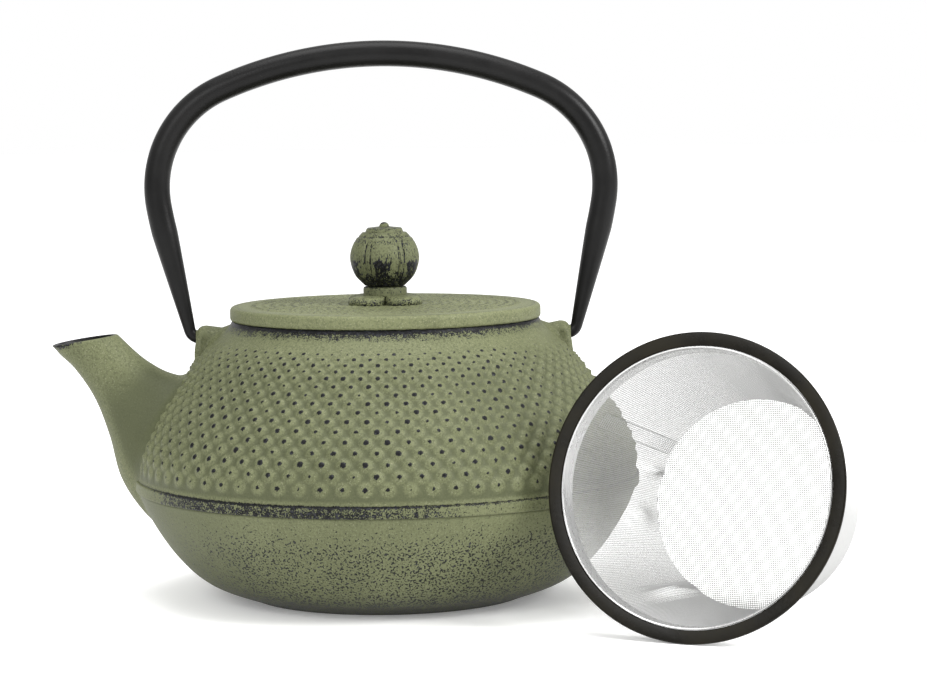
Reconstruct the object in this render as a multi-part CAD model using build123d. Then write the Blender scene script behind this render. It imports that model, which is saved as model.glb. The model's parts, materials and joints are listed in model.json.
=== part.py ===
"""Cast iron teapot with a bail handle, a flat lid and a wire-mesh tea infuser beside it.

Millimetres, +Z up. The origin is on the table, on the pot's own axis. The spout points
to -X and the lugs of the bail handle stand at -X and +X. The infuser lies on its side in
front of the pot, on its rim and the edge of its floor, with its mouth up and forward.
"""
from build123d import *
from math import atan2, cos, degrees, pi, radians, sin
import os

os.makedirs("parts", exist_ok=True)

# ---- pot body: outside, from the table upwards ---------------------------------------
FOOT_R = 46.0            # flat ring that stands on the table
BELLY_R = 82.6           # just under and over the belly band
BAND_R = 83.4            # raised flat band round the widest part
BAND_Z = (36.2, 39.9)
NECK_R = 50.6            # outer edge of the mouth
MOUTH_Z = 91.2           # top of the mouth
WALL = 3.6               # casting thickness
FLOOR_Z = 4.6            # top of the pot's floor
LOWER_SIDE = [(60.7, 6.0), (70.6, 15.0), (78.6, 27.0)]
UPPER_SIDE = [(81.2, 48.0), (75.4, 60.0), (67.4, 71.0), (59.3, 82.0), (52.3, 88.8)]

# ---- mouth ---------------------------------------------------------------------------
THROAT_R = 44.5
SEAT_R = 47.8            # rebate that the infuser's rim drops into
SEAT_DEPTH = 1.6
THROAT_LOW_Z = 84.0

# ---- spout: sections across its run, each (lower point, upper point, half width) ------
SPOUT_SECTIONS = [
    ((-71.5, 19.5), (-52.0, 69.0), 19.5),
    ((-80.8, 27.8), (-64.5, 72.2), 16.5),
    ((-88.2, 39.4), (-72.4, 74.5), 13.0),
    ((-91.9, 53.8), (-77.8, 77.5), 10.6),
    ((-96.4, 66.1), (-82.2, 80.9), 9.2),
    ((-102.6, 75.8), (-87.6, 86.2), 8.3),
    ((-108.4, 81.8), (-91.8, 90.4), 8.0),
    ((-110.6, 87.2), (-96.0, 96.8), 8.0),
]
SPOUT_WALL = 2.3
SPOUT_TIP = (-109.6, 84.2)   # front end of the sloping cut that makes the pouring mouth
SPOUT_HEEL = (-88.4, 87.3)   # its rear end

# ---- lugs and handle -----------------------------------------------------------------
PIVOT_Z = 85.6
LUG_CENTRE_X = -0.7      # the pair of lugs sits slightly towards the spout
LUG_FACE = 61.9          # from the middle of the pair to each outer face
LUG_ROOT = 46.5
LUG_R = 4.1
LUG_FOOT_HALF = 5.6      # half width where a lug runs into the shoulder
LUG_FOOT_Z = 70.0
LUG_HOLE_R = 2.6
LUG_HOLE_DEPTH = 8.5
LUG_EDGE_ROUND = 2.0
PIN_R = 1.95
PIN_LENGTH = 5.6         # straight end of the wire inside the lug, from where the hook starts
HOOK_BEND_R = 3.5
TUBE_R = 4.25
APEX_Z = 178.4           # middle of the tube at the top of the arch
TOP_BEND = (131.1, 23.6)     # radius and turn of each half of the top
CORNER_BEND = (35.5, 75.8)
SIDE_BEND = (134.3, 3.8)

# ---- lid -----------------------------------------------------------------------------
LID_GAP = 0.1
LID_R = 51.3
LID_EDGE_H = 4.6
LID_CROWN = 0.15
SKIRT_R = 41.6
SKIRT_WALL = 3.0
SKIRT_DROP = 5.8
LID_RECESS = 1.2

# ---- knob, a stack held by one rivet ---------------------------------------------------
PETALS = 4
PETAL_R = 6.1
PETAL_OFFSET = 8.6
PLINTH_H = 3.0
KNOB_NECK_R = 7.2
KNOB_NECK_H = 3.15
BALL_R = 11.7
BALL_H = 17.5
BALL_SIDE = [(6.6, 0.0), (10.1, 3.6), (BALL_R, 9.0), (10.5, 13.8), (7.3, BALL_H)]
LOBES = 6
GROOVE_R = 0.5
CAP_R = 6.4
CAP_H = 1.7
RIVET_R = 1.7
RIVET_CLEARANCE = 0.1
RIVET_DOME_H = 1.7
WASHER_R = 6.0
WASHER_H = 1.0
PEENED_R = 3.0
PEENED_H = 0.9

# ---- infuser, as it would stand on its floor -------------------------------------------
RIM_R = 47.3
RIM_INNER_R = 43.0
RIM_H = 1.4
BASKET_H = 62.6
FLOOR_R = 33.8
COLLAR_H = 5.0
SHEET = 0.6
SEAM_WIDTH = 5.0
SEAM_H = 50.0
SEAM_ANGLE = 150.0
INFUSER_TURN = 25.0      # the mouth points this far from -Y towards -X
INFUSER_FOOT = (114.9, -47.5)   # where the edge of the floor touches the table


def turned(outline):
    """Solid of revolution about Z from a closed outline in (radius, height)."""
    return revolve(Plane.XZ * make_face(outline), Axis.Z)


def ring(inner, outer, low, high):
    """Plain ring about Z."""
    return Pos(0, 0, low) * extrude(Circle(outer) - Circle(inner), high - low)


def disc(radius, low, high):
    """Plain disc about Z."""
    return Pos(0, 0, low) * extrude(Circle(radius), high - low)


def widest_circles(shape):
    """The circular edges of the largest radius, for rounding a ring's outside."""
    return shape.edges().filter_by(GeomType.CIRCLE).group_by(SortBy.RADIUS)[-1]


# ======================================================================================
# Pot casting: body, band, spout and lugs in one piece of iron
# ======================================================================================
def pot_outside():
    """Squat body: flat foot, round lower side, raised band, sloping shoulder, neck."""
    foot = Line((0, 0), (FOOT_R, 0))
    low = Spline((FOOT_R, 0), *LOWER_SIDE, (BELLY_R, BAND_Z[0]), tangents=((1, 0.12), (0.08, 1)))
    middle = Line((BELLY_R, BAND_Z[0]), (BELLY_R, BAND_Z[1]))
    high = Spline((BELLY_R, BAND_Z[1]), *UPPER_SIDE, (NECK_R, MOUTH_Z), tangents=((0, 1), (-0.5, 1)))
    top = Polyline((NECK_R, MOUTH_Z), (0, MOUTH_Z), (0, 0))
    band = ring(BELLY_R - WALL / 2, BAND_R, *BAND_Z)
    band = fillet(widest_circles(band), 0.5)
    return turned(foot + low + middle + high + top) + band


def pot_inside():
    """Cavity, throat and rebate, open at the top."""
    side = [(r - WALL, z) for r, z in UPPER_SIDE[:3]]
    low = [(r - WALL, z + WALL / 2) for r, z in reversed(LOWER_SIDE)]
    wall = Spline((THROAT_R, THROAT_LOW_Z), *reversed(side), (BELLY_R - WALL, sum(BAND_Z) / 2),
                  *low, (FOOT_R - WALL, FLOOR_Z), tangents=((0.6, -1), (-1, 0)))
    floor = Line((FOOT_R - WALL, FLOOR_Z), (0, FLOOR_Z))
    over = MOUTH_Z + WALL
    mouth = Polyline((0, FLOOR_Z), (0, over), (SEAT_R, over), (SEAT_R, MOUTH_Z - SEAT_DEPTH),
                     (THROAT_R, MOUTH_Z - SEAT_DEPTH), (THROAT_R, THROAT_LOW_Z))
    return turned(wall + floor + mouth)


def spout_loft(thinner=0.0):
    """Curved spout: ellipses across its run, each made smaller by the same amount."""
    sections = []
    for (low_x, low_z), (high_x, high_z), half_width in SPOUT_SECTIONS:
        run_x, run_z = high_x - low_x, high_z - low_z
        half = (run_x ** 2 + run_z ** 2) ** 0.5 / 2
        centre = ((low_x + high_x) / 2, 0, (low_z + high_z) / 2)
        plane = Plane(origin=centre, x_dir=(run_x, 0, run_z), z_dir=(-run_z, 0, run_x))
        sections.append(plane * Ellipse(half - thinner, half_width - thinner))
    return loft(sections)


def above_spout_mouth():
    """Everything above the sloping cut of the pouring mouth."""
    slope = atan2(SPOUT_HEEL[1] - SPOUT_TIP[1], SPOUT_HEEL[0] - SPOUT_TIP[0])
    reach = 60.0
    block = Box(reach, reach, reach, align=(Align.CENTER, Align.CENTER, Align.MIN))
    middle = ((SPOUT_TIP[0] + SPOUT_HEEL[0]) / 2, (SPOUT_TIP[1] + SPOUT_HEEL[1]) / 2)
    return Pos(middle[0], 0, middle[1]) * Rot(0, -degrees(slope), 0) * block


def lug(side):
    """Ear on the shoulder with a round top, widening down into the shoulder."""
    crown = CenterArc((0, PIVOT_Z), LUG_R, 0, 180)
    sides = Polyline((-LUG_R, PIVOT_Z), (-LUG_FOOT_HALF, LUG_FOOT_Z), (LUG_FOOT_HALF, LUG_FOOT_Z),
                     (LUG_R, PIVOT_Z))
    ear = extrude(Plane.YZ * make_face(crown + sides), LUG_FACE - LUG_ROOT)
    ear = Pos(LUG_ROOT, 0, 0) * ear
    outer_edges = ear.faces().sort_by(Axis.X)[-1].edges().filter_by(GeomType.CIRCLE)
    ear = fillet(outer_edges, LUG_EDGE_ROUND)
    ear = ear if side > 0 else mirror(ear, Plane.YZ)
    return Pos(LUG_CENTRE_X, 0, 0) * ear


def lug_hole(side):
    """Blind hole that takes one end of the handle."""
    depth = LUG_HOLE_DEPTH
    start = LUG_CENTRE_X + side * (LUG_FACE - depth / 2 + 1)
    return Pos(start, 0, PIVOT_Z) * Rot(0, 90, 0) * Cylinder(LUG_HOLE_R, depth + 2)


def pot_casting():
    outside = pot_outside() + (spout_loft() - above_spout_mouth()) + lug(1) + lug(-1)
    return outside - pot_inside() - spout_loft(SPOUT_WALL) - lug_hole(1) - lug_hole(-1)


# ======================================================================================
# Lid and knob
# ======================================================================================
LID_Z = MOUTH_Z + LID_GAP
LID_TOP = LID_Z + LID_EDGE_H + LID_CROWN
HOLE_R = RIVET_R + RIVET_CLEARANCE


def lid_casting():
    """Flat disc with round edges and a locating skirt, drilled for the knob's rivet."""
    edge = LID_EDGE_H
    outline = Polyline((0, 0), (LID_R - 1.2, 0), (LID_R, 1.2), (LID_R, edge - 1.6))
    shoulder = ThreePointArc((LID_R, edge - 1.6), (LID_R - 0.5, edge - 0.45), (LID_R - 1.8, edge))
    crown = Spline((LID_R - 1.8, edge), (LID_R / 2, edge + LID_CROWN * 0.75), (0, edge + LID_CROWN),
                   tangents=((-1, 0.02), (-1, 0)))
    plate = turned(outline + shoulder + crown + Line((0, edge + LID_CROWN), (0, 0)))
    skirt = ring(SKIRT_R - SKIRT_WALL, SKIRT_R, -SKIRT_DROP, 1.0)
    recess = disc(SKIRT_R - SKIRT_WALL, -1.0, LID_RECESS)
    lid = plate + skirt - recess - disc(HOLE_R, -1.0, edge + 2)
    return Pos(0, 0, LID_Z) * lid


def knob_plinth(low):
    """Four round petals under the knob."""
    petals = Circle(KNOB_NECK_R)
    for i in range(PETALS):
        turn = 360 / PETALS * (i + 0.5)
        petals += Rot(0, 0, turn) * Pos(PETAL_OFFSET, 0) * Circle(PETAL_R)
    plinth = extrude(petals - Circle(HOLE_R), PLINTH_H)
    return Pos(0, 0, low) * plinth


def knob_ball(low):
    """Ball cut flat above and below, fuller above, with grooves that divide it into lobes."""
    ends = Polyline(BALL_SIDE[-1], (0, BALL_H), (0, 0), BALL_SIDE[0])
    ball = turned(Spline(*BALL_SIDE) + ends)
    centre = BALL_SIDE[2][1]
    for i in range(LOBES // 2):
        groove = Rot(0, 0, 360 / LOBES * i) * Rot(90, 0, 0) * Torus(BALL_R, GROOVE_R)
        ball -= Pos(0, 0, centre) * groove
    return Pos(0, 0, low) * (ball - disc(HOLE_R, -1, BALL_H + 1))


def knob_rivet(under, top):
    """Pin through lid and knob: peened head below, small dome above."""
    head = disc(PEENED_R, under - PEENED_H, under)
    shank = disc(RIVET_R, under, top)
    dome_r = RIVET_DOME_H
    dome = Pos(0, 0, top) * Sphere(dome_r) & disc(dome_r, top, top + dome_r)
    return head + shank + dome


# ======================================================================================
# Handle: one steel tube, drawn down at its ends and hooked into the lugs
# ======================================================================================
def walk(point, heading, radius, turn):
    """Middle and end of an arc that turns clockwise in XZ from a point and heading."""
    ends = []
    for share in (turn / 2, turn):
        chord = 2 * radius * sin(share / 2)
        slope = heading + share / 2
        ends.append((point[0] + chord * cos(slope), point[1] - chord * sin(slope)))
    return ends[0], ends[1], heading + turn


def in_front_plane(point):
    return (point[0], 0, point[1])


def handle_half():
    """Right half of the handle, from the apex to the end of its pin."""
    point, heading = (0.0, APEX_Z), 0.0
    arcs = []
    for radius, turn in (TOP_BEND, CORNER_BEND, SIDE_BEND):
        middle, end, heading = walk(point, heading, radius, radians(turn))
        arcs.append(ThreePointArc(*[in_front_plane(p) for p in (point, middle, end)]))
        point = end
    tube_path = Wire(arcs)
    tube = sweep(Plane(origin=in_front_plane((0.0, APEX_Z)), z_dir=(1, 0, 0)) * Circle(TUBE_R),
                 path=tube_path)
    # the straight leg runs down and inwards until the hook's bend brings it to the pivot
    lean = heading - pi / 2
    bend_drop = HOOK_BEND_R * (1 - sin(lean))
    leg_end_z = PIVOT_Z + bend_drop
    leg_run = (point[1] - leg_end_z) / cos(lean)
    leg_end = (point[0] - leg_run * sin(lean), leg_end_z)
    leg_plane = Plane(origin=in_front_plane(point), z_dir=(cos(heading), 0, -sin(heading)))
    leg = leg_plane * Cone(TUBE_R, PIN_R, leg_run, align=(Align.CENTER, Align.CENTER, Align.MIN))
    middle, hook_end, _ = walk(leg_end, heading, HOOK_BEND_R, pi - heading)
    pin_end = (hook_end[0] - PIN_LENGTH, hook_end[1])
    hook_path = Wire([ThreePointArc(*[in_front_plane(p) for p in (leg_end, middle, hook_end)]),
                      Line(in_front_plane(hook_end), in_front_plane(pin_end))])
    hook_plane = Plane(origin=in_front_plane(leg_end), z_dir=(cos(heading), 0, -sin(heading)))
    hook = sweep(hook_plane * Circle(PIN_R), path=hook_path)
    return tube + leg + hook


def handle_bail():
    half = handle_half()
    return Pos(LUG_CENTRE_X, 0, 0) * (half + mirror(half, Plane.YZ))


# ======================================================================================
# Infuser: built standing, then laid on its side
# ======================================================================================
def wall_radius(height):
    """Outer radius of the tapered wall at a height above the floor."""
    top = BASKET_H - RIM_H
    return FLOOR_R + (RIM_INNER_R - FLOOR_R) * height / top


def tapered_shell(low, high, outward=0.0, thickness=SHEET):
    """Thin conical wall between two heights."""
    low_r, high_r = wall_radius(low) + outward, wall_radius(high) + outward
    return turned(Polyline((low_r - thickness, low), (low_r, low), (high_r, high),
                           (high_r - thickness, high), close=True))


def infuser_rim():
    """Flat flange with a rounded outer bead."""
    rim = ring(RIM_INNER_R, RIM_R, BASKET_H - RIM_H, BASKET_H)
    return fillet(widest_circles(rim), 0.6)


def infuser_seam():
    """Lapped strip where the ends of the wall's mesh are welded together."""
    low = SHEET + 1
    strip = tapered_shell(low, low + SEAM_H, outward=0.4, thickness=0.4)
    width = Pos(RIM_R / 2 + 10, 0, BASKET_H / 2) * Box(RIM_R, SEAM_WIDTH, BASKET_H)
    return strip & Rot(0, 0, SEAM_ANGLE) * width


def laid_down(shape):
    """Turn a standing piece over the edge of its floor until its rim meets the table."""
    lean = atan2(RIM_R - FLOOR_R, BASKET_H - RIM_H)
    turn = radians(INFUSER_TURN)
    backwards = (sin(turn), cos(turn))
    stand = (INFUSER_FOOT[0] + FLOOR_R * backwards[0], INFUSER_FOOT[1] + FLOOR_R * backwards[1])
    hinge = Axis((*INFUSER_FOOT, 0), (cos(turn), -sin(turn), 0))
    placed = Pos(*stand, 0) * Rot(0, 0, -INFUSER_TURN) * shape
    return placed.rotate(hinge, 90 - degrees(lean))


# ======================================================================================
# All sub-parts
# ======================================================================================
UNDER_LID = LID_Z + LID_RECESS
WASHER_LOW = UNDER_LID - WASHER_H
NECK_LOW = LID_TOP + PLINTH_H
BALL_LOW = NECK_LOW + KNOB_NECK_H
CAP_LOW = BALL_LOW + BALL_H
COLLAR_LOW = BASKET_H - RIM_H - COLLAR_H

nodes = {
    "pot_casting": pot_casting(),
    "lid_casting": lid_casting(),
    "knob_plinth": knob_plinth(LID_TOP),
    "knob_neck": ring(HOLE_R, KNOB_NECK_R, NECK_LOW, BALL_LOW),
    "knob_ball": knob_ball(BALL_LOW),
    "knob_cap": ring(HOLE_R, CAP_R, CAP_LOW, CAP_LOW + CAP_H),
    "knob_rivet": knob_rivet(WASHER_LOW, CAP_LOW + CAP_H),
    "rivet_washer": ring(HOLE_R, WASHER_R, WASHER_LOW, UNDER_LID),
    "handle_bail": handle_bail(),
    "infuser_rim": laid_down(infuser_rim()),
    "infuser_collar": laid_down(tapered_shell(COLLAR_LOW, BASKET_H - RIM_H)),
    "infuser_wall": laid_down(tapered_shell(SHEET, COLLAR_LOW)),
    "infuser_floor": laid_down(disc(FLOOR_R, 0, SHEET)),
    "infuser_seam": laid_down(infuser_seam()),
}

for name, shape in nodes.items():
    export_step(shape, f"parts/{name}.step")
    print(f"{name:16s} solids {len(shape.solids())}  volume {shape.volume:10.1f}")
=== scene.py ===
"""Looks of the cast iron teapot and its infuser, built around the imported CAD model.

Lengths inside the builders are millimetres in the CAD frame; add_mesh turns them into
metres. Pieces replace the plain CAD solids and ride on the same bodies.
"""

import json
from math import acos, atan2, cos, pi, radians, sin, sqrt

import bpy
import numpy as np
from mathutils import Matrix

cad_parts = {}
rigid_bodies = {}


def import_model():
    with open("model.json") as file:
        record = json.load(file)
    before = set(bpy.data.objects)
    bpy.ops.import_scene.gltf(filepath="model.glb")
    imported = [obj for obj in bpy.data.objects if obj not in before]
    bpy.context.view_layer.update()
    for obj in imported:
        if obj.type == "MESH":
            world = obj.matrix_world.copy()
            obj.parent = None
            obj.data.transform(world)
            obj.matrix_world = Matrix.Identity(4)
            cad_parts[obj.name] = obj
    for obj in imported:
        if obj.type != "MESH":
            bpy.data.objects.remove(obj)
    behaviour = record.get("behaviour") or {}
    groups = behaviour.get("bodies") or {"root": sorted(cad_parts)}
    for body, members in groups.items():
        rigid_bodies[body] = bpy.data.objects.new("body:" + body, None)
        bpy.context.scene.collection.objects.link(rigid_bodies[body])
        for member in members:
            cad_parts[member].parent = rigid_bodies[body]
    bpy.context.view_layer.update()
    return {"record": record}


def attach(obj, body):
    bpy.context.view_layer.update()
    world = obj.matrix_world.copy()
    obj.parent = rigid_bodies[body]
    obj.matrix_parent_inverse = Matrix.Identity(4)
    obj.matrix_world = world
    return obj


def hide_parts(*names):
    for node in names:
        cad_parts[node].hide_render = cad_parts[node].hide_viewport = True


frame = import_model()
MM = 0.001

JOINTS = {joint["name"]: joint for joint in frame["record"]["behaviour"]["joints"]}
PIVOT = [v / MM for v in JOINTS["handle_swing"]["pos_m"]]
INFUSER_FOOT = [v / MM for v in JOINTS["infuser_tip"]["pos_m"]]
TIP_AXIS = JOINTS["infuser_tip"]["axis"]

# ---- sizes that the CAD sets, in millimetres ---------------------------------------------
FOOT_R, BELLY_R, BAND_R, BAND_LOW, BAND_HIGH = 46.0, 82.6, 83.4, 36.2, 39.9
LOWER_SIDE = [(46.0, 0.0), (60.7, 6.0), (70.6, 15.0), (78.6, 27.0), (82.6, 36.2)]
UPPER_SIDE = [(82.6, 39.9), (81.2, 48.0), (75.4, 60.0), (67.4, 71.0), (59.3, 82.0), (52.3, 88.8),
              (50.6, 91.2)]
MOUTH_Z, SEAT_R, SEAT_DEPTH, THROAT_R, THROAT_LOW_Z = 91.2, 47.8, 1.6, 44.5, 84.0
WALL, FLOOR_Z = 3.6, 4.6
SPOUT_SECTIONS = [
    ((-71.5, 19.5), (-52.0, 69.0), 19.5),
    ((-80.8, 27.8), (-64.5, 72.2), 16.5),
    ((-88.2, 39.4), (-72.4, 74.5), 13.0),
    ((-91.9, 53.8), (-77.8, 77.5), 10.6),
    ((-96.4, 66.1), (-82.2, 80.9), 9.2),
    ((-102.6, 75.8), (-87.6, 86.2), 8.3),
    ((-108.4, 81.8), (-91.8, 90.4), 8.0),
    ((-110.6, 87.2), (-96.0, 96.8), 8.0),
]
SPOUT_WALL, LIP_WALL = 2.3, 1.2
SPOUT_TIP, SPOUT_HEEL = (-109.6, 84.2), (-88.4, 87.3)
LUG_FACE, LUG_R, LUG_FOOT_HALF, LUG_HOLE_R, LUG_HOLE_DEPTH = 61.9, 4.1, 5.6, 2.6, 8.5
PIN_R, PIN_LENGTH, HOOK_BEND_R, TUBE_R, APEX_Z = 1.95, 5.6, 3.5, 4.25, 178.4
HANDLE_BENDS = [(131.1, 23.6), (35.5, 75.8), (134.3, 3.8)]
LID_Z, LID_R, LID_EDGE_H, LID_CROWN = 91.3, 51.3, 4.6, 0.15
SKIRT_R, SKIRT_WALL, SKIRT_DROP, LID_RECESS = 41.6, 3.0, 5.8, 1.2
LID_TOP = LID_Z + LID_EDGE_H + LID_CROWN
PETALS, PETAL_R, PETAL_OFFSET, PLINTH_H = 4, 6.1, 8.6, 3.0
KNOB_NECK_R, KNOB_NECK_H = 7.2, 3.15
BALL_H = 17.5
BALL_SIDE = [(6.6, 0.0), (10.1, 3.6), (11.7, 9.0), (10.5, 13.8), (7.3, BALL_H)]
CAP_R, CAP_H, NUB_R = 6.4, 1.7, 1.7
RIM_R, RIM_INNER_R, RIM_H, BASKET_H, FLOOR_R, SHEET = 47.3, 43.0, 1.4, 62.6, 33.8, 0.6
COLLAR_H = 5.0


# ---- Small geometry helpers ------------------------------------------------------------
def smooth_line(points, samples):
    """Points along a Catmull-Rom curve through a short outline, evenly spread."""
    p = np.array(points, float)
    p = np.vstack([2 * p[0] - p[1], p, 2 * p[-1] - p[-2]])
    out = []
    for i in range(1, len(p) - 2):
        t = np.linspace(0, 1, 40, endpoint=False)[:, None]
        a, b, c, d = p[i - 1], p[i], p[i + 1], p[i + 2]
        out.append(0.5 * (2 * b + (c - a) * t + (2 * a - 5 * b + 4 * c - d) * t ** 2
                          + (3 * b - a - 3 * c + d) * t ** 3))
    out.append(p[-2][None])
    line = np.vstack(out)
    run = np.concatenate([[0], np.cumsum(np.linalg.norm(np.diff(line, axis=0), axis=1))])
    at = np.linspace(0, run[-1], samples)
    return np.stack([np.interp(at, run, line[:, k]) for k in range(line.shape[1])], 1)


def ease(x, low, high):
    """0 below low, 1 above high, smooth between."""
    t = np.clip((x - low) / (high - low), 0, 1)
    return t * t * (3 - 2 * t)


def add_mesh(name, points, faces, body, material, replaces, wear_and_shade=None, smooth=True):
    """Mesh object in metres that rides on a body and stands in for CAD nodes."""
    verts = np.asarray(points, float).reshape(-1, 3) * MM
    mesh = bpy.data.meshes.new(name)
    mesh.from_pydata([tuple(v) for v in verts], [], faces)
    if wear_and_shade is not None:
        layer = mesh.attributes.new("wear_and_shade", "FLOAT", "POINT")
        layer.data.foreach_set("value", np.asarray(wear_and_shade, np.float32).ravel())
    mesh.polygons.foreach_set("use_smooth", [smooth] * len(mesh.polygons))
    mesh.update()
    piece = bpy.data.objects.new(name, mesh)
    bpy.context.scene.collection.objects.link(piece)
    mesh.materials.append(material)
    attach(piece, body)
    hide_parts(*replaces)


def grid_faces(rows, columns, closed=True, flip=False):
    """Quads of a grid of rows of points; closed joins the last column to the first."""
    faces = []
    for i in range(rows - 1):
        for j in range(columns if closed else columns - 1):
            k = (j + 1) % columns
            quad = (i * columns + j, i * columns + k, (i + 1) * columns + k, (i + 1) * columns + j)
            faces.append(quad[::-1] if flip else quad)
    return faces


def turned_grid(outline, columns):
    """Grid of a solid of revolution from an outline of (radius, height)."""
    angle = np.linspace(0, 2 * pi, columns, endpoint=False)
    outline = np.asarray(outline, float)
    r, z = outline[:, :1], outline[:, 1:]
    return np.stack([r * np.cos(angle), r * np.sin(angle), z + 0 * angle], -1)


def rounded(outline, radii, steps=5):
    """Outline with each corner rounded by its radius; a radius of 0 keeps it sharp."""
    out = []
    for i, (point, radius) in enumerate(zip(outline, radii)):
        point = np.array(point, float)
        if radius == 0:
            out.append(point)
            continue
        a = np.array(outline[i - 1], float) - point
        b = np.array(outline[(i + 1) % len(outline)], float) - point
        a, b = a / np.linalg.norm(a), b / np.linalg.norm(b)
        half = acos(float(np.clip(a @ b, -1, 1))) / 2
        cut = radius / np.tan(half)
        start, end = point + a * cut, point + b * cut
        for t in np.linspace(0, 1, steps):
            out.append((1 - t) ** 2 * start + 2 * t * (1 - t) * point + t ** 2 * end)
    return np.array(out)


# ---- Materials -------------------------------------------------------------------------
class Nodes:
    """Short way to wire a node material."""

    def __init__(self, name):
        self.material = bpy.data.materials.new(name)
        self.material.use_nodes = True
        self.tree = self.material.node_tree
        self.shader = self.tree.nodes["Principled BSDF"]
        self.place = self.tree.nodes.new("ShaderNodeTexCoord").outputs["Object"]

    def node(self, kind, settings=None, **inputs):
        node = self.tree.nodes.new(kind)
        for key, value in (settings or {}).items():
            setattr(node, key, value)
        for key, value in inputs.items():
            self.feed(node.inputs[key.replace("_", " ")], value)
        return node

    def feed(self, socket, value):
        if isinstance(value, bpy.types.NodeSocket):
            self.tree.links.new(value, socket)
        else:
            socket.default_value = value

    def math(self, operation, a, b):
        node = self.node("ShaderNodeMath", {"operation": operation})
        self.feed(node.inputs[0], a)
        self.feed(node.inputs[1], b)
        return node.outputs[0]

    def stretched(self, scale, rotation=(0.0, 0.0, 0.0)):
        """Texture place that is scaled, and turned, so that a noise runs along a direction."""
        return self.node("ShaderNodeMapping", Vector=self.place, Rotation=rotation,
                         Scale=scale).outputs[0]

    def noise(self, scale, detail=3.0, roughness=0.55, place=None):
        return self.node("ShaderNodeTexNoise", Vector=place or self.place, Scale=scale,
                         Detail=detail, Roughness=roughness).outputs["Fac"]

    def step(self, value, low, high, out_low=0.0, out_high=1.0):
        """Smooth change from out_low at low to out_high at high."""
        node = self.node("ShaderNodeMapRange", {"interpolation_type": "SMOOTHSTEP"})
        for socket, number in zip(node.inputs, (value, low, high, out_low, out_high)):
            self.feed(socket, number)
        return node.outputs["Result"]

    def blend(self, share, first, second):
        """Mix of two colours; share is how much of the second."""
        node = self.node("ShaderNodeMix", {"data_type": "RGBA"})
        self.feed(node.inputs[0], share)
        self.feed(node.inputs[6], first)
        self.feed(node.inputs[7], second)
        return node.outputs[2]

    def bump(self, height, strength, distance):
        node = self.node("ShaderNodeBump", Strength=strength, Distance=distance, Height=height)
        self.feed(self.shader.inputs["Normal"], node.outputs["Normal"])

    def finish(self, **inputs):
        for key, value in inputs.items():
            self.feed(self.shader.inputs[key.replace("_", " ")], value)
        return self.material


GREEN = (0.086, 0.094, 0.043, 1)
GREEN_LIGHT = (0.106, 0.115, 0.055, 1)
GREEN_DEEP = (0.046, 0.052, 0.022, 1)
GREEN_PALE = (0.200, 0.205, 0.125, 1)
# painted shade for the foot, under the belly
GREEN_FOOT_SHADE = (0.030, 0.034, 0.018, 1)
IRON_DARK = (0.0028, 0.0029, 0.0033, 1)
IRON_GREY = (0.020, 0.021, 0.026, 1)


def belly_speckle(n, split):
    """Dots of bare metal that thicken from under the band to the foot, fewer on the left."""
    height = split.outputs["Z"]
    spots = n.noise(1500.0, 1.0, 0.5, n.stretched((1.0, 0.6, 1.0), (0.5, 0.4, 0.3)))
    patches = n.noise(20.0, 2.0, 0.5)
    thick = n.step(height, 0.0375, 0.0235, 0.0, 0.188)
    share = n.math("MULTIPLY", thick, n.step(split.outputs["X"], -0.076, -0.040, 0.5, 1.0))
    share = n.math("ADD", share, n.math("MULTIPLY", n.math("SUBTRACT", patches, 0.5), 0.10))
    share = n.math("ADD", share, n.step(height, 0.011, 0.002, 0.0, 0.08))
    return n.step(n.math("ADD", spots, share), 0.735, 0.77, 0.0, 0.95)


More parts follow.
